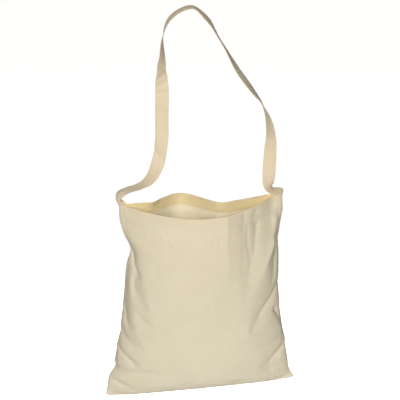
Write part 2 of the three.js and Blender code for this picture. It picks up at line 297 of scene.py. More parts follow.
# %% Cloth that can settle
SETTLE_FRAMES = 25
SLACK = 0.0045  # share by which the cloth is longer than its form
PRESSURE = 0.5
GRAVITY_SHARE = 0.3  # what is in the bag carries the rest
POINT_MASS = 0.02
STRETCH_STIFFNESS = 60
SHEAR_STIFFNESS = 8
BEND_STIFFNESS = 3
AIR_DAMPING = 4
PINNED_BAND = 26.0  # the pins hold fully this far down from the mouth
PIN_FADE = 24.0  # and let go over this much more


def grid_faces(rows, columns):
    """Quads of a grid of rows and columns of points."""
    corner = np.arange(rows * columns).reshape(rows, columns)
    quads = [corner[:-1, :-1], corner[1:, :-1], corner[1:, 1:], corner[:-1, 1:]]
    return np.stack(quads, axis=2).reshape(-1, 4)


def new_object(name, points, faces):
    """A mesh object in the scene, from points in millimetres from the mouth's middle."""
    mesh = bpy.data.meshes.new(name)
    places = to_frame(points).reshape(-1, 3).tolist()
    mesh.from_pydata(places, [], [list(map(int, face)) for face in faces])
    mesh.update()
    made = bpy.data.objects.new(name, mesh)
    bpy.context.scene.collection.objects.link(made)
    return made


def pin(cloth):
    """Pins the hem, the seams and the bottom of a panel. The pins let go softly under the hem."""
    strength = np.clip((PINNED_BAND + PIN_FADE - downs) / PIN_FADE, 0, 1)
    strength = np.repeat(strength[:, None], len(shares), axis=1)
    strength[-1] = 1
    strength[:, [0, -1]] = 1
    group = cloth.vertex_groups.new(name="pinned")
    for number, weight in enumerate(strength.ravel()):
        group.add([number], float(weight), "REPLACE")
    return group.name


def settle(side, grid):
    """The grid after the cloth has settled, in millimetres."""
    faces = grid_faces(*grid.shape[:2])[:, ::int(-OUTWARD[side])]
    cloth = new_object(side + "_settling", grid, faces)
    modifier = cloth.modifiers.new("cloth", "CLOTH")
    settings = modifier.settings
    settings.vertex_group_mass = pin(cloth)
    settings.mass = POINT_MASS
    settings.tension_stiffness = settings.compression_stiffness = STRETCH_STIFFNESS
    settings.shear_stiffness = SHEAR_STIFFNESS
    settings.bending_stiffness = BEND_STIFFNESS
    settings.air_damping = AIR_DAMPING
    settings.shrink_min = -SLACK
    settings.use_pressure = True
    settings.uniform_pressure_force = PRESSURE
    settings.effector_weights.gravity = GRAVITY_SHARE
    modifier.collision_settings.use_collision = False
    modifier.point_cache.frame_end = SETTLE_FRAMES
    for number in range(1, SETTLE_FRAMES + 1):
        bpy.context.scene.frame_set(number)
    settled = cloth.evaluated_get(bpy.context.evaluated_depsgraph_get()).data
    points = np.empty(grid.size)
    settled.vertices.foreach_get("co", points)
    bpy.data.objects.remove(cloth)
    bpy.context.scene.frame_set(1)
    return points.reshape(grid.shape) / MM + HANG


print("the cloth settles for", SETTLE_FRAMES, "frames")

# %% Let the panels settle
MOVE_CAP = 8.0
ROOM_SHARE = 0.35  # of the space between the panels, what a wrinkle may take
TINY = 1e-6  # so that nothing is divided by zero
between = np.abs(folded["front"][..., 1] - folded["back"][..., 1])
room = np.minimum(MOVE_CAP, ROOM_SHARE * between)[..., None] + TINY
panels = {}
for side, grid in folded.items():
    move = settle(side, grid) - grid
    far = np.linalg.norm(move, axis=2, keepdims=True) + TINY
    panels[side] = grid + move / far * room * np.tanh(far / room)
    print(side, "cloth moved %.1f mm on average, %.1f mm at most" % (far.mean(), far.max()))

# %% [markdown]
# ## Cotton
# Unbleached cotton is a plain weave of uneven yarns, with thicker slubs, cloudy colour and now and
# then a brown fleck of seed. It could be painted as a picture, but a procedural finish stays sharp
# at any distance. Its patterns are laid out on the flat place of each point, which is stored on the
# mesh, so the threads follow the cloth round every fold. Where the hem doubles the cloth at the
# mouth, it throws back more light, so the colour there is painted paler, and warmer towards the
# mouth's edge: painted light. A few helpers for nodes come first.

# %% Nodes for the finishes
NOISE_DETAIL = 3
WAVE_SCALE = math.pi / 10  # of a wave texture with one band to the metre


def new_finish(name):
    """A new material, its tree of nodes and its shader."""
    material = bpy.data.materials.new(name)
    material.use_nodes = True
    return material, material.node_tree, material.node_tree.nodes["Principled BSDF"]


def link_math(tree, operation, first, second):
    """A math node on two sockets or numbers, and its output."""
    node = tree.nodes.new("ShaderNodeMath")
    node.operation = operation
    for socket, value in zip(node.inputs, (first, second)):
        if isinstance(value, (int, float)):
            socket.default_value = value
        else:
            tree.links.new(value, socket)
    return node.outputs[0]


def stretched_noise(tree, place, stretch, scale):
    """Noise on the flat place, drawn out along the threads."""
    mapping = tree.nodes.new("ShaderNodeMapping")
    mapping.inputs["Scale"].default_value = stretch
    tree.links.new(place, mapping.inputs["Vector"])
    texture = tree.nodes.new("ShaderNodeTexNoise")
    texture.inputs["Scale"].default_value = scale
    texture.inputs["Detail"].default_value = NOISE_DETAIL
    tree.links.new(mapping.outputs["Vector"], texture.inputs["Vector"])
    return texture.outputs[0]


def mixed_colour(tree, share, first, second):
    """Two colours mixed by a share. A colour may be a socket."""
    node = tree.nodes.new("ShaderNodeMix")
    node.data_type = "RGBA"
    tree.links.new(share, node.inputs["Factor"])
    sockets = [s for s in node.inputs if s.type == "RGBA"]
    for socket, colour in zip(sockets, (first, second)):
        if isinstance(colour, tuple):
            socket.default_value = (*colour, 1)
        else:
            tree.links.new(colour, socket)
    return [s for s in node.outputs if s.type == "RGBA"][0]


def bands(tree, place, run, pitch):
    """A wave texture whose bands run one way, a pitch apart in metres."""
    wave = tree.nodes.new("ShaderNodeTexWave")
    wave.bands_direction = run
    wave.inputs["Scale"].default_value = WAVE_SCALE / pitch
    tree.links.new(place, wave.inputs["Vector"])
    return wave


def add_relief(tree, shader, height, strength, distance):
    """Raises the shaded surface by a pattern of heights."""
    relief = tree.nodes.new("ShaderNodeBump")
    relief.inputs["Strength"].default_value = strength
    relief.inputs["Distance"].default_value = distance
    tree.links.new(height, relief.inputs["Height"])
    tree.links.new(relief.outputs["Normal"], shader.inputs["Normal"])


print("noise detail in the finishes:", NOISE_DETAIL)

# %% Woven cotton finish
THREAD_PITCH = 0.0006  # in metres
CLOUD_SCALE = 22
CLOUD_SHARE = 0.55  # what the clouds add to the tone, and the slubs add the rest
SLUB_SCALE = 900
SLUB_STRETCH = 0.02  # a slub is drawn out along its thread
SLUB_HEIGHT = 1.5  # against 1 for the threads
THREAD_WOBBLE = 0.8
RELIEF_STRENGTH = 0.35
RELIEF_HEIGHT = 0.0004
FLECK_SCALE = 30
FLECK_SIZE = 0.018
FLECK_STRENGTH = 0.6
SEED_BROWN = (0.16, 0.09, 0.04)
DOUBLED_PAINTED_LIGHT = 0.4  # painted light: the doubled band is painted this much paler, as two layers throw back more light than one
# painted light: a warm tint painted at the mouth, fading down to the hem's lower edge
MOUTH_PAINTED_WARMTH = (0.925, 0.745, 0.48)
COTTON_SURFACE = {
    "Roughness": 0.9,
    "Sheen Weight": 0.12,
    "Sheen Roughness": 0.5,
    "Specular IOR Level": 0.2,
    "Subsurface Radius": (1.0, 0.92, 0.75),
    "Subsurface Scale": 0.006,
}


def cotton_colour_and_painted_light(tree, flat, slubs, pale, deep, doubled):
    """The cotton's colour without flecks, with painted light where it is doubled at the mouth: paler
    and warmer there.
    """
    clouds = stretched_noise(tree, flat, (1, 1, 1), CLOUD_SCALE)
    tone = link_math(tree, "MULTIPLY", clouds, CLOUD_SHARE)
    tone = link_math(tree, "ADD", tone, link_math(tree, "MULTIPLY", slubs, 1 - CLOUD_SHARE))
    if not doubled:
        return mixed_colour(tree, tone, deep, pale)
    axes = tree.nodes.new("ShaderNodeSeparateXYZ")
    tree.links.new(flat, axes.inputs["Vector"])
    # painted light: the doubled band at the mouth is painted paler
    painted_light_band = link_math(tree, "LESS_THAN", axes.outputs["Y"], doubled * MM)
    tone = link_math(tree, "ADD", tone, link_math(tree, "MULTIPLY", painted_light_band, DOUBLED_PAINTED_LIGHT))
    # painted light: the warm tint is strongest at the mouth and fades down the band
    below_edge = link_math(tree, "DIVIDE", axes.outputs["Y"], doubled * MM)
    painted_warmth_share = link_math(tree, "SUBTRACT", 1, below_edge)
    return mixed_colour(tree, painted_warmth_share, mixed_colour(tree, tone, deep, pale), MOUTH_PAINTED_WARMTH)


def cotton(name, pale, deep, translucency, doubled=0):
    """A plain-weave cotton between a pale and a deep colour, doubled this far down from the mouth,
    where it gets painted light.
    """
    material, tree, shader = new_finish(name)
    place = tree.nodes.new("ShaderNodeAttribute")
    place.attribute_name = "flat_place"
    flat = place.outputs["Vector"]

    warp_slubs = stretched_noise(tree, flat, (1, SLUB_STRETCH, 1), SLUB_SCALE)
    weft_slubs = stretched_noise(tree, flat, (SLUB_STRETCH, 1, 1), SLUB_SCALE)
    slubs = link_math(tree, "MULTIPLY", link_math(tree, "ADD", warp_slubs, weft_slubs), 0.5)
    cloth_colour = cotton_colour_and_painted_light(tree, flat, slubs, pale, deep, doubled)

    seeds = tree.nodes.new("ShaderNodeTexVoronoi")
    seeds.inputs["Scale"].default_value = FLECK_SCALE
    tree.links.new(flat, seeds.inputs["Vector"])
    is_fleck = link_math(tree, "LESS_THAN", seeds.outputs["Distance"], FLECK_SIZE)
    flecked = link_math(tree, "MULTIPLY", is_fleck, FLECK_STRENGTH)
    tree.links.new(mixed_colour(tree, flecked, cloth_colour, SEED_BROWN), shader.inputs["Base Color"])

    threads = [bands(tree, flat, run, THREAD_PITCH) for run in ("X", "Y")]
    for wave in threads:
        wave.inputs["Distortion"].default_value = THREAD_WOBBLE
        wave.inputs["Detail"].default_value = 1
    weave = link_math(tree, "MULTIPLY", threads[0].outputs["Fac"], threads[1].outputs["Fac"])
    height = link_math(tree, "ADD", weave, link_math(tree, "MULTIPLY", slubs, SLUB_HEIGHT))
    add_relief(tree, shader, height, RELIEF_STRENGTH, RELIEF_HEIGHT)

    for socket, value in COTTON_SURFACE.items():
        shader.inputs[socket].default_value = value
    shader.inputs["Subsurface Weight"].default_value = translucency
    return material


print("threads to a centimetre: %.0f" % (0.01 / THREAD_PITCH))

# %% Cotton for the panels, the hems and the strap
HEM_DEPTH = 25.0
panel_cotton = cotton("panel_weave", (0.89, 0.775, 0.555), (0.79, 0.67, 0.455), 0.45, HEM_DEPTH)
# painted light: the hem's colours are painted yellower and brighter than the panel's, for the warm
# light inside the mouth
hem_cotton = cotton("hem_weave_painted_light", (1.0, 0.86, 0.50), (0.96, 0.77, 0.41), 0.08)
strap_cotton = cotton("strap_weave", (0.79, 0.68, 0.50), (0.69, 0.57, 0.40), 0.1)
print("finishes:", [m.name for m in (panel_cotton, hem_cotton, strap_cotton)])

# %% [markdown]
# ## Sewing thread
# The seams are sewn with a thin cotton thread, twisted from finer strands. The strands could be
# modelled, but on a thread this thin, slanting bands of colour and relief show the twist as well.

# %% Sewing thread
THREAD_TWIST = 0.0004  # in metres
TWIST_STRENGTH = 0.4
TWIST_HEIGHT = 0.0001


def sewing_thread(name, pale, deep):
    """A twisted thread, in two colours that change along it."""
    material, tree, shader = new_finish(name)
    place = tree.nodes.new("ShaderNodeTexCoord").outputs["Object"]
    twist = bands(tree, place, "DIAGONAL", THREAD_TWIST).outputs["Fac"]
    tree.links.new(mixed_colour(tree, twist, deep, pale), shader.inputs["Base Color"])
    add_relief(tree, shader, twist, TWIST_STRENGTH, TWIST_HEIGHT)
    shader.inputs["Roughness"].default_value = 0.7
    shader.inputs["Sheen Weight"].default_value = 0.2
    return material


thread_cotton = sewing_thread("sewing_thread", (0.80, 0.69, 0.50), (0.66, 0.55, 0.38))
print("thread:", thread_cotton.name)

# %% [markdown]
# ## Small creases
# Between the large folds, used cotton has small ones: crisp lines at the bottom of a fold, creases
# left from when it lay folded, random crumples, puckers where the seam thread draws the cloth
# together, and a general unevenness. They are too fine for the simulation's grid, so the grid is
# first made twice as fine, and the small creases are pressed in afterwards. The random ones come
# from a fixed seed, so each run gives the same bag.

# %% Refine the grids
def with_middles(rows):
    """Rows with a smooth middle row put between each two, by the four-point rule."""
    longer = np.concatenate([[2 * rows[0] - rows[1]], rows, [2 * rows[-1] - rows[-2]]])
    middle = (9 * (rows[1:] + rows[:-1]) - (longer[:-3] + longer[3:])) / 16
    made = np.empty((2 * len(rows) - 1,) + rows.shape[1:])
    made[::2], made[1::2] = rows, middle
    return made


def refined(grid):
    """A grid with twice the rows and columns."""
    return with_middles(with_middles(grid).swapaxes(0, 1)).swapaxes(0, 1)


fine_flat = refined(flat_place)
print("points in a refined panel:", fine_flat.shape[0] * fine_flat.shape[1])

# %% Lines left in the cloth
CREASES = {
    "front": [
        Fold(-171, 18, -94, 39, 10, -1.5),
        Fold(-94, 39, -57, 65, 10, -1.2),
        Fold(-170, 60, -84, 96, 12, -1.2),
        Fold(40, 8, 38, 124, 15, -3.2),
        Fold(84, 6, 72, 118, 24, 4.5),
        Fold(3, 179, 11, 218, 6, 1.0),
        Fold(-20, 71, -2, 71, 3, 0.8),
        Fold(-176, 232, -150, 252, 7, 2.0),
        Fold(-170, 328, -120, 316, 7, 1.6),
        Fold(178, 296, 132, 300, 8, 2.5),
        Fold(174, 366, 120, 372, 7, 2.0),
        Fold(-60, 398, -20, 372, 7, 1.2),
        Fold(70, 402, 96, 380, 6, 1.5),
        Fold(-183, 262, -150, 281, 4, 1.8),
        Fold(-176, 302, -146, 326, 4, 2.0),
        Fold(-166, 352, -108, 342, 4, 1.4),
        Fold(-172, 375, -144, 388, 4, 1.5),
        Fold(-184, 92, -150, 130, 4, 1.6),
        Fold(166, 187, 114, 224, 4, 1.6),
        Fold(158, 232, 175, 262, 4, 1.6),
        Fold(168, 329, 138, 350, 4, 1.8),
        Fold(184, 410, 158, 418, 3, 1.2),
    ],
    "back": [
        Fold(-122, -4, -102, -4, 30, 8),
        Fold(-170, 20, -80, 90, 9, -2.0),
        Fold(170, 20, 90, 96, 9, -2.0),
        Fold(-30, 150, 12, 190, 8, 1.6),
        Fold(60, 260, 20, 300, 8, 1.4),
        Fold(-178, 232, -146, 248, 7, 2.5),
        Fold(178, 290, 140, 300, 8, 2.5),
        Fold(-110, 392, -80, 370, 7, 1.5),
        Fold(96, 398, 120, 374, 7, 1.5),
    ],
}
print("small creases:", {side: len(folds) for side, folds in CREASES.items()})

# %% Random crumples, puckers and unevenness
CRUMPLES = 46
CRUMPLE_LENGTH = (22.0, 85.0)
CRUMPLE_WIDTH = (3.5, 8.0)
CRUMPLE_DEPTH = 0.75
CRUMPLE_TOP = 0.08  # share of the height at the mouth where none starts
PUCKER_PITCH = 15.0
PUCKER_STRAY = 0.35  # share of the pitch that a pucker may be off its place
PUCKER_WIDTH = (0.2, 0.4)  # shares of the pitch
PUCKER_DEPTH = 0.9
PUCKER_UNEVEN = (0.2, 1.6)  # shares of the depth
PUCKER_REACH = 16.0
UNEVEN_SIZE = 55.0
UNEVEN_DEPTH = 1.1
FINER_TIMES = 3  # the finer waves are this many times smaller
FINER_SHARE = 0.35


def puckers(draw, from_seam, along):
    """Small waves that run in from a seam, at uneven places and depths along it."""
    waves = np.zeros_like(along)
    for place in np.arange(0, PANEL_HEIGHT, PUCKER_PITCH):
        centre = place + draw.uniform(-PUCKER_STRAY, PUCKER_STRAY) * PUCKER_PITCH
        depth = PUCKER_DEPTH * draw.uniform(*PUCKER_UNEVEN)
        waves += depth * bump(along - centre, PUCKER_PITCH * draw.uniform(*PUCKER_WIDTH))
    return waves * np.exp(-from_seam / PUCKER_REACH)


def crumples(draw):
    """Short creases at random places, lengths, directions and depths, about half of them ridges."""
    made = []
    for _ in range(CRUMPLES):
        across = draw.uniform(-0.5, 0.5) * PANEL_WIDTH
        along = draw.uniform(CRUMPLE_TOP, 1) * PANEL_HEIGHT
        length = draw.uniform(*CRUMPLE_LENGTH)
        heading = draw.uniform(0, math.pi)
        to_across = across + length * math.cos(heading)
        to_along = along + length * math.sin(heading)
        depth = CRUMPLE_DEPTH * draw.uniform(-1, 1)
        made.append(Fold(across, along, to_across, to_along, draw.uniform(*CRUMPLE_WIDTH), depth))
    return made


def unevenness(flat, layer):
    """Slow random waves of the cloth, the same each time for a layer of the noise."""
    depth = np.empty(flat.shape[:-1])
    for place in np.ndindex(depth.shape):
        across, along = flat[place] / UNEVEN_SIZE
        finer = noise.noise((FINER_TIMES * across, FINER_TIMES * along, layer))
        depth[place] = noise.noise((across, along, layer)) + FINER_SHARE * finer
    return UNEVEN_DEPTH * depth


print("random crumples in a panel:", CRUMPLES)

# %% Press the small creases
RANDOM_SEED = 7
LAYER_STEP = 10.0  # each panel reads another layer of the noise
EDGE_EASE = 4.0  # small creases die away this close to a seam
draws = np.random.default_rng(RANDOM_SEED)
fine_panels, fine_normals = {}, {}
for number, (side, grid) in enumerate(panels.items()):
    fine = refined(grid)
    across, along = fine_flat[..., 0], fine_flat[..., 1]
    press = fold_depth(CREASES[side] + crumples(draws), fine_flat)
    press += puckers(draws, PANEL_WIDTH / 2 + across, along)
    press += puckers(draws, PANEL_WIDTH / 2 - across, along)
    press += puckers(draws, PANEL_HEIGHT - along, across + PANEL_WIDTH / 2)
    press += unevenness(fine_flat, LAYER_STEP * number)
    edge = np.minimum(PANEL_WIDTH / 2 - np.abs(across), PANEL_HEIGHT - along)
    press *= 1 - np.exp(-edge / EDGE_EASE)
    normals = -OUTWARD[side] * grid_normals(fine)
    fine_panels[side] = fine - press[..., None] * normals
    fine_normals[side] = -OUTWARD[side] * grid_normals(fine_panels[side])
    print(side, "small creases up to %.1f mm deep" % press.max())

# %% [markdown]
# ## The two panels
# The refined grids become the panels. At the mouth the cloth rolls over inwards, so a few rows are
# added that go round a small half circle. Solidify then gives the cloth its thickness on both sides
# of the grid. Smooth shading alone would draw a dark line along the thin rims, so weighted normals
# let the large faces decide how the light falls.

# %% Make the panels
CLOTH = 0.9
WALL_MIDDLE = 0.6  # from the construction model's inner face to the middle of its wall
MOUTH_ROLL = 0.65  # radius of the roll at the mouth
ROLL_STEPS = 7


def dress(made, material, flat):
    """Smooth shading and a finish, with the flat place of each point for its pattern."""
    places = np.zeros(flat.shape[:-1] + (3,))
    places[..., :2] = flat * MM
    layer = made.data.attributes.new("flat_place", "FLOAT_VECTOR", "POINT")
    layer.data.foreach_set("vector", places.ravel())
    made.data.shade_smooth()
    made.data.materials.append(material)


def soft_sheet(name, grid, flat, thickness, material):
    """A cloth sheet whose middle is a grid of points. Its thickness may change from row to row."""
    made = new_object(name, grid, grid_faces(*grid.shape[:2]))
    dress(made, material, flat)
    wall = made.modifiers.new("wall", "SOLIDIFY")
    wall.thickness = np.max(thickness) * MM
    wall.offset = 0
    if np.ndim(thickness):
        by_row = made.vertex_groups.new(name="thickness")
        wall.vertex_group = by_row.name
        for row, share in enumerate(thickness / np.max(thickness)):
            first = row * grid.shape[1]
            by_row.add(list(range(first, first + grid.shape[1])), float(share), "REPLACE")
    made.modifiers.new("even_shading", "WEIGHTED_NORMAL").mode = "FACE_AREA"
    return made


middles, cloths = {}, {}
for side, grid in fine_panels.items():
    middles[side] = grid + WALL_MIDDLE * fine_normals[side]
    top, out = middles[side][0], fine_normals[side][0]
    roll, roll_flat = [], []
    for angle in np.linspace(math.pi, 0, ROLL_STEPS)[:-1]:
        rise = MOUTH_ROLL * math.sin(angle) * np.array((0, 0, 1))
        roll.append(top + rise - MOUTH_ROLL * (1 - math.cos(angle)) * out)
        roll_flat.append(fine_flat[0] - (0, MOUTH_ROLL * angle))
    rolled = np.concatenate([roll, middles[side]])
    rolled_flat = np.concatenate([roll_flat, fine_flat])
    cloths[side] = soft_sheet(side + "_panel_cloth", rolled, rolled_flat, CLOTH, panel_cotton)
    print(cloths[side].name, len(cloths[side].data.polygons), "faces on one side")

# %% [markdown]
# ## Hems
# Inside the mouth the rolled cloth runs on down as a band. Its colours are painted yellower and
# brighter than the panel's: painted light, because less light comes through two layers. Each hem
# starts at the inner end of the roll, falls onto the inside of its panel and lies flat on it down
# to the lower edge, where it is sewn and pressed thin.

# %% Turn the hems in
HEM_CLOTH = 0.5
HEM_COLUMNS = slice(6, -6)  # a hem stops short of the side seams
HEM_EDGE = 0.1  # the cloth is pressed this thin at the lower edge
HEM_TAPER = 6.0  # over this height
HEM_FALL = 6.0  # how far down the cloth falls from the roll onto the panel
hems, hem_middles = {}, {}
fine_downs = fine_flat[:, 0, 1]
for side, middle in middles.items():
    band = np.flatnonzero(fine_downs <= HEM_DEPTH)
    from_edge = fine_downs[band[-1]] - fine_downs[band]
    thickness = HEM_EDGE + (HEM_CLOTH - HEM_EDGE) * np.clip(from_edge / HEM_TAPER, 0, 1)
    seat = (CLOTH + thickness) / 2
    inset = seat + (2 * MOUTH_ROLL - seat) * np.exp(-fine_downs[band] / HEM_FALL)
    rows = middle[band, HEM_COLUMNS] - inset[:, None, None] * fine_normals[side][band, HEM_COLUMNS]
    places = fine_flat[band, HEM_COLUMNS] * (1, -1)
    hem_middles[side] = rows
    hems[side] = soft_sheet(side + "_hem_band", rows, places, thickness, hem_cotton)
    print(hems[side].name, "is %.0f mm deep" % fine_downs[band[-1]])

# %% [markdown]
# ## The strap
# The strap is a strip of the same cotton, folded in four and stitched along both edges. Flat straps
# are best lofted: a table gives the line that it follows in the air, how far its width is turned,
# and how far it is folded round its middle. Where it is sewn down it is folded over the side seam
# and lies on both panels.

# %% Follow the strap
STRAP_WIDTH = 25.0
HALF = STRAP_WIDTH / 2
STRAP_SPINE = 3.0
FRONT_LAP = 8.0  # of the strap's width, the part that is sewn to the front panel
BACK_CLOSING = 1.1  # the back part closes on its seam this much more than the front
SEWN_LENGTH = 38.0
STRAP_STEP = 2.2
STRAP_SEAT = 2.0  # from the panel's inner face to the middle of the strap

# x, y and z are a place on the strap's line. turn is the angle of its width, which lies front to back
# at 0 and across the front at 90. fold closes the strap round its line, and front is the part of its
# width in front of that line.
Turn = namedtuple("Turn", "x y z turn fold front")
STRAP_RUN = [
    Turn(-156, 0, 4, 8, 44, FRONT_LAP),
    Turn(-157, 0, 13, 22, 26, FRONT_LAP + 2),
    Turn(-153, 0, 20.5, 22, 18, HALF),
    Turn(-143, 0, 25.5, 14, 8, HALF),
    Turn(-116, 0, 33, 9, 0, HALF),
    Turn(-96, 0, 44, 32, 0, HALF),
    Turn(-81, 0, 72, 64, 0, HALF),
    Turn(-73, 0, 111, 70, 0, HALF),
    Turn(-71, 0, 165, 88, 0, HALF),
    Turn(-70, 0, 215, 96, 0, HALF),
    Turn(-70, 0, 246, 122, 0, HALF),
    Turn(-69, 0, 277, 148, 0, HALF),
    Turn(-68, 0, 306, 167, 0, HALF),
    Turn(-56, 0, 339, 180, 0, HALF),
    Turn(-36, 0, 354.5, 180, 0, HALF),
    Turn(-14, 0, 359, 183, 0, HALF),
    Turn(5, 0, 343.5, 196, 0, HALF),
    Turn(36, 0, 295, 185, 0, HALF),
    Turn(68, 0, 240, 204, 0, HALF),
    Turn(93, 0, 205, 198, 0, HALF),
    Turn(111, 0, 179, 184, 0, HALF),
    Turn(122, 0, 156, 170, 0, HALF),
    Turn(128, 0, 130, 152, 0, HALF),
    Turn(129.5, 0, 100, 132, 0, HALF),
    Turn(128.5, 0, 66, 114, 0, HALF),
    Turn(128, 1, 34, 94, 0, HALF),
    Turn(128.5, 2, 17, 66, 0, HALF),
    Turn(133, 3, 7.5, 28, 0, HALF),
    Turn(142, 3, 5.5, 4, 4, HALF),
    Turn(149, 2, 9.5, 0, 16, FRONT_LAP + 2),
    Turn(154, 1, 11, 0, 32, FRONT_LAP),
    Turn(157, 0, 4, 0, 46, FRONT_LAP),
]


def unit(vectors):
    """Vectors made one long."""
    return vectors / np.linalg.norm(vectors, axis=-1, keepdims=True)


def free_run():
    """Front edge, front spine, back spine and back edge of the strap along its run in the air."""
    knots = np.array([row[:3] for row in STRAP_RUN], float)
    keys = run_lengths(knots)
    at = np.linspace(0, keys[-1], int(keys[-1] / STRAP_STEP) + 1)
    read = {name: read_column(keys, [getattr(row, name) for row in STRAP_RUN], at)
            for name in Turn._fields}
    line = np.stack([read["x"], read["y"], read["z"]], axis=1)
    tangent = unit(np.gradient(line, axis=0))
    depthwise = unit(np.array((0, 1.0, 0)) - tangent * tangent[:, 1:2])
    turn = np.radians(read["turn"])[:, None]
    fold = np.radians(read["fold"].clip(0))[:, None]
    front = read["front"][:, None]
    wide = np.cos(turn) * depthwise + np.sin(turn) * np.cross(tangent, depthwise)
    outward = np.cross(tangent, wide)
    edges, spines = [], []
    for hand, width, closing in ((-1, front, fold), (1, STRAP_WIDTH - front, BACK_CLOSING * fold)):
        spines.append(line + hand * STRAP_SPINE / 2 * wide)
        flap = hand * np.cos(closing) * wide - np.sin(closing) * outward
        edges.append(spines[-1] + (width - STRAP_SPINE / 2) * flap)
    return np.stack([edges[0], spines[0], spines[1], edges[1]], axis=1)


def sewn_run(end):
    """The same four lines where the strap is sewn over a side seam, from the mouth down."""
    each_millimetre = np.linspace(0, 1, int(PANEL_WIDTH) + 1)
    sections = []
    for along in np.arange(0, SEWN_LENGTH, STRAP_STEP):
        edges, spines = [], []
        for side, lap in (("front", FRONT_LAP), ("back", STRAP_WIDTH - FRONT_LAP)):
            curve = level_curve(side, along, each_millimetre)
            curve = curve if end == "left" else curve[::-1]
            inward = unit(curve[int(lap)] - curve[0])
            hand = -OUTWARD[side] if end == "left" else OUTWARD[side]
            normal = unit(hand * np.array((inward[1], -inward[0], 0)))
            spines.append(curve[0] + STRAP_SEAT * normal)
            edges.append(spines[-1] + lap * inward)
        sections.append([edges[0], spines[0], spines[1], edges[1]])
    return np.array(sections)


strap_lines = np.concatenate([sewn_run("left")[::-1], free_run(), sewn_run("right")])
run_places = run_lengths(strap_lines.mean(axis=1))

# %% [markdown]
# Each section is then rounded: its four points become a flat strip. The strip waves a little, because
# folded cloth is never quite even, and short slanting wrinkles are pressed in where it was bent. Last
# comes its thickness, with soft edges and a little less along the two rows of stitching.

# %% Round the sections
STITCH_LINE = 0.8  # share of the half width
edge_places = np.array((0, 0.25, 0.5, 0.68, STITCH_LINE, 0.88, 0.94, 0.98, 1))
ACROSS_STRAP = np.concatenate([-edge_places[:0:-1], edge_places])
SECTION_POINTS = 61
SECTION_SMOOTHING = 3
RUN_SMOOTHING = 2


def smoothed(lines, reach):
    """Lines averaged over a number of neighbours on either side, ends kept."""
    padded = np.concatenate([lines[:1]] * reach + [lines] + [lines[-1:]] * reach)
    return sum(padded[k:k + len(lines)] for k in range(2 * reach + 1)) / (2 * reach + 1)


def strap_surface(lines):
    """Middle points of the strap across its width, and their normals."""
    last = lines.shape[1] - 1
    fine = np.linspace(0, last, SECTION_POINTS)
    low = np.clip(fine.astype(int), 0, last - 1)
    share = (fine - low)[None, :, None]
    strip = lines[:, low] * (1 - share) + lines[:, low + 1] * share
    strip = np.moveaxis(smoothed(np.moveaxis(strip, 1, 0), SECTION_SMOOTHING), 0, 1)
    sections = []
    for row in strip:
        widths = run_lengths(row)
        wanted = (ACROSS_STRAP + 1) / 2 * widths[-1]
        sections.append(np.stack([np.interp(wanted, widths, column) for column in row.T], axis=1))
    points = np.stack(sections)
    return points, unit(np.cross(np.gradient(points, axis=0), np.gradient(points, axis=1)))


strap_middle, strap_normals = strap_surface(smoothed(strap_lines, RUN_SMOOTHING))
print("points across the strap:", len(ACROSS_STRAP))

# %% Wrinkle the strap
Wrinkle = namedtuple("Wrinkle", "at slant width depth")  # slant is the move along over half the width
STRAP_WRINKLES = [
    Wrinkle(104, 4, 7, 1.2),
    Wrinkle(172, 13, 7, 2.4),
    Wrinkle(215, -6, 9, 1.0),
    Wrinkle(262, 2, 5, 1.0),
    Wrinkle(293, 0, 4, 1.8),
    Wrinkle(309, -4, 4, 2.0),
    Wrinkle(323, -5, 4, 1.8),
    Wrinkle(340, 6, 5, 1.6),
    Wrinkle(520, 3, 8, 0.8),
    Wrinkle(690, -6, 9, 1.0),
    Wrinkle(770, 5, 9, 1.2),
    Wrinkle(842, 5, 6, 1.6),
]
TWIST_DEPTH = 0.35  # how far the edges wave against each other
TWIST_LENGTH = 17.0
CUP_DEPTH = 0.3  # how far the middle waves against the edges
CUP_LENGTH = 29.0
CUP_START = 1.0
CUP_CURVE = 2.4
flutter = TWIST_DEPTH * np.sin(run_places / TWIST_LENGTH)[:, None] * ACROSS_STRAP ** 2
flutter = flutter * np.sign(ACROSS_STRAP)
cupping = CUP_DEPTH * np.sin(run_places / CUP_LENGTH + CUP_START)[:, None]
flutter = flutter + cupping * np.cos(CUP_CURVE * ACROSS_STRAP)
for wrinkle in STRAP_WRINKLES:
    beside = run_places[:, None] - wrinkle.at - wrinkle.slant * ACROSS_STRAP
    flutter = flutter - wrinkle.depth * crease(beside, wrinkle.width)
strap_middle = strap_middle + flutter[..., None] * strap_normals
print("the strap waves by up to %.1f mm" % np.abs(flutter).max())

# %% Thicken the strap
STRAP_HALF_THICKNESS = 0.75
EDGE_POWER = 12  # a higher power makes the edges squarer
STITCH_SINK = 0.22
STITCH_SPREAD = 0.05
half = STRAP_HALF_THICKNESS * np.sqrt(1 - np.abs(ACROSS_STRAP) ** EDGE_POWER)
half = half - STITCH_SINK * bump(np.abs(ACROSS_STRAP) - STITCH_LINE, STITCH_SPREAD)
half[[0, -1]] = 0
upper = strap_middle + half[None, :, None] * strap_normals
lower = strap_middle - half[None, :, None] * strap_normals
ring = np.concatenate([upper, lower[:, -2:0:-1]], axis=1)
print("points round the strap:", ring.shape[1])

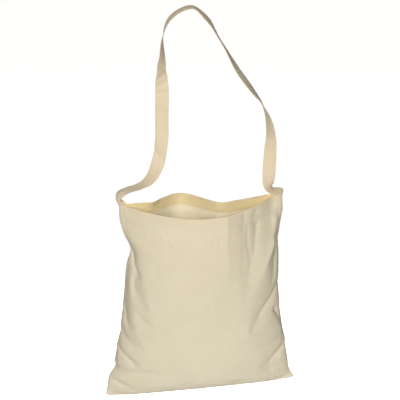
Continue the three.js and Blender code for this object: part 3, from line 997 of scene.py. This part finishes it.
# %% Skin the strap
stations, around = ring.shape[:2]
corner = np.arange(stations * around).reshape(stations, around)
corner = np.concatenate([corner, corner[:, :1]], axis=1)
quads = [corner[:-1, :-1], corner[:-1, 1:], corner[1:, 1:], corner[1:, :-1]]
ends = [corner[0, -2::-1], corner[-1, :-1]]
strap = new_object("shoulder_strap", ring, [*np.stack(quads, axis=2).reshape(-1, 4), *ends])
width_places = np.concatenate([ACROSS_STRAP, ACROSS_STRAP[-2:0:-1]]) * HALF
strap_flat = np.stack(np.broadcast_arrays(width_places, run_places[:, None]), axis=2)
dress(strap, strap_cotton, strap_flat)
print(strap.name, len(strap.data.polygons), "faces")

# %% [markdown]
# ## Stitches
# Thread holds the bag together: one row round each hem, one along each edge of the strap and a few
# bars across its sewn ends. A picture of stitches would do from afar, but real ones catch the light.
# Each stitch here is a short thread that is fat in the middle and dips into the cloth at its ends.
# Thousands of small objects would be slow, so all the stitches of a piece are made as one mesh.

# %% Shape one stitch
STITCH_PITCH = 3.0
STITCH_LENGTH = 2.2
THREAD_RADIUS = 0.24
THREAD_SIDES = 6
Ring = namedtuple("Ring", "share girth lift")
STITCH_RINGS = [
    Ring(0, 0.3, -0.8),
    Ring(0.15, 0.8, 0),
    Ring(0.5, 1, 0.4),
    Ring(0.85, 0.8, 0),
    Ring(1, 0.3, -0.8),
]


def along_line(line, places):
    """Places along a line of points, by distance from its start, read for each column of the line."""
    length = run_lengths(line[:, :3])
    return np.stack([np.interp(places, length, column) for column in line.T], axis=1), length[-1]


def stitch_points(line, normals):
    """Points of all the stitches on a line, as stitches, rings and points round each ring."""
    both = np.concatenate([line, normals], axis=1)
    length = along_line(both, [0])[1]
    starts = np.arange(STITCH_PITCH / 2, length - STITCH_PITCH, STITCH_PITCH)
    first, last = (along_line(both, starts + shift)[0] for shift in (0, STITCH_LENGTH))
    up = unit(first[:, 3:] + last[:, 3:])
    run = last[:, :3] - first[:, :3]
    aside = unit(np.cross(up, run))
    turn = np.linspace(0, 2 * math.pi, THREAD_SIDES, endpoint=False)
    rings = []
    for ring in STITCH_RINGS:
        centre = first[:, :3] + ring.share * run + ring.lift * THREAD_RADIUS * up
        spoke = np.cos(turn)[None, :, None] * up[:, None] + np.sin(turn)[None, :, None] * aside[:, None]
        rings.append(centre[:, None] + ring.girth * THREAD_RADIUS * spoke)
    return np.stack(rings, axis=1)


print("points in a stitch:", len(STITCH_RINGS) * THREAD_SIDES)

# %% Sew the rows
def sewn_rows(name, rows, material):
    """One mesh of stitches along several rows, each a line of points and their normals."""
    points = np.concatenate([stitch_points(line, normals) for line, normals in rows])
    count, rings, sides = points.shape[:3]
    corner = np.arange(count * rings * sides).reshape(count, rings, sides)
    after = np.roll(corner, -1, axis=2)
    quads = [corner[:, :-1], corner[:, 1:], after[:, 1:], after[:, :-1]]
    ends = [*corner[:, 0], *corner[:, -1, ::-1]]
    made = new_object(name, points, [*np.stack(quads, axis=3).reshape(-1, 4), *ends])
    made.data.shade_smooth()
    made.data.materials.append(material)
    print(name, "has", count, "stitches")
    return made


STITCH_INSET = 3.0
HEM_STITCHES = HEM_DEPTH - STITCH_INSET
hem_row = int(np.argmin(np.abs(fine_downs - HEM_STITCHES)))
hem_threads = {}
for side, middle in middles.items():
    line, out = middle[hem_row, HEM_COLUMNS], fine_normals[side][hem_row, HEM_COLUMNS]
    inside = hem_middles[side][hem_row] - HEM_CLOTH / 2 * out
    rows = [(line + CLOTH / 2 * out, out), (inside, -out)]
    hem_threads[side] = sewn_rows(side + "_hem_stitches", rows, thread_cotton)

BAR_STATIONS = (1, 13, -14, -2)  # sections of the strap that a bar is sewn across
BAR_COLUMNS = slice(2, -2)
strap_rows = []
for hand in (STITCH_LINE, -STITCH_LINE):
    column = int(np.argmin(np.abs(ACROSS_STRAP - hand)))
    out = strap_normals[:, column]
    strap_rows += [(upper[:, column], out), (lower[:, column], -out)]
for station in BAR_STATIONS:
    strap_rows.append((upper[station, BAR_COLUMNS], strap_normals[station, BAR_COLUMNS]))
strap_threads = sewn_rows("strap_stitches", strap_rows, thread_cotton)

# %% [markdown]
# ## Light and floor
# The picture is lit softly from near the camera, a little from above and the left, on white. So one
# large key lamp stands there, and what faces away from the camera turns darker. A weak bounce lamp
# stands for the light that a white table throws up, a lamp behind the bag shines through the cloth
# into the mouth, and the world adds a little fill. The floor lies well below the bag and glows by
# itself like a light table, so it stays white without a lamp of its own. It is kept out of the
# diffuse light, or it would wash out the folds.

# %% Light the bag
# A lamp faces the bag at a height in millimetres from the mouth, from an azimuth and an elevation in
# degrees. Its distance and size are in metres and its power is in watts.
Lamp = namedtuple("Lamp", "name height azimuth elevation distance size power")
LAMPS = [
    Lamp("key_lamp", -150, -16, 31, 2.3, 1.2, 46),
    Lamp("bounce_lamp", -360, 6, -36, 0.8, 0.7, 4.2),
    Lamp("back_lamp", -150, 172, 4, 1.6, 1.0, 34),
]
FILL_COLOUR = (1, 0.9, 0.72, 1)
FILL = 0.1


def soft_lamp(lamp):
    """A square lamp of the table."""
    data = bpy.data.lights.new(lamp.name, "AREA")
    data.size = lamp.size
    data.energy = lamp.power
    toward = direction(math.radians(lamp.azimuth), math.radians(lamp.elevation))
    placed = bpy.data.objects.new(lamp.name, data)
    placed.location = Vector(to_frame((0, 0, lamp.height))) + lamp.distance * toward
    placed.rotation_euler = (-toward).to_track_quat("-Z", "Y").to_euler()
    bpy.context.scene.collection.objects.link(placed)
    print(lamp.name, "at", [round(v, 2) for v in placed.location])


for lamp in LAMPS:
    soft_lamp(lamp)
world = bpy.data.worlds.new("studio")
world.use_nodes = True
world.node_tree.nodes["Background"].inputs["Color"].default_value = FILL_COLOUR
world.node_tree.nodes["Background"].inputs["Strength"].default_value = FILL
bpy.context.scene.world = world
bpy.context.scene.view_settings.view_transform = "Standard"
print("world fill: %.2f" % FILL)

# %% Lay the floor
FLOOR_DROP = 1.35
FLOOR_SIZE = 30.0
FLOOR_SURFACE = {
    "Base Color": (0.9, 0.9, 0.9, 1),
    "Roughness": 1,
    "Emission Color": (1, 1, 1, 1),
    "Emission Strength": 0.9,
}
floor = new_object("floor", np.zeros((4, 3)), [(0, 1, 2, 3)])
for vertex, (x, y) in zip(floor.data.vertices, ((-1, -1), (1, -1), (1, 1), (-1, 1))):
    vertex.co = (x * FLOOR_SIZE / 2, y * FLOOR_SIZE / 2, -FLOOR_DROP)
floor_white, _, floor_shader = new_finish("floor_white")
for socket, value in FLOOR_SURFACE.items():
    floor_shader.inputs[socket].default_value = value
floor.data.materials.append(floor_white)
floor.visible_diffuse = False
print("floor %.2f m below the hanging point" % FLOOR_DROP)

# %% [markdown]
# ## Attach the pieces
# Every piece is attached to the body it moves with, and the construction model's nodes that the
# panels, hems and strap stand for are hidden.

for side in OUTWARD:
    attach(cloths[side], "root")
    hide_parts(side + "_panel")
    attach(hems[side], "root")
    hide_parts(side + "_hem")
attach(strap, "root")
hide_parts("strap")

for threads, slot in ((hem_threads["front"], "hem_cotton"), (hem_threads["back"], "hem_cotton"),
                      (strap_threads, "strap_cotton")):
    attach(threads, "root")
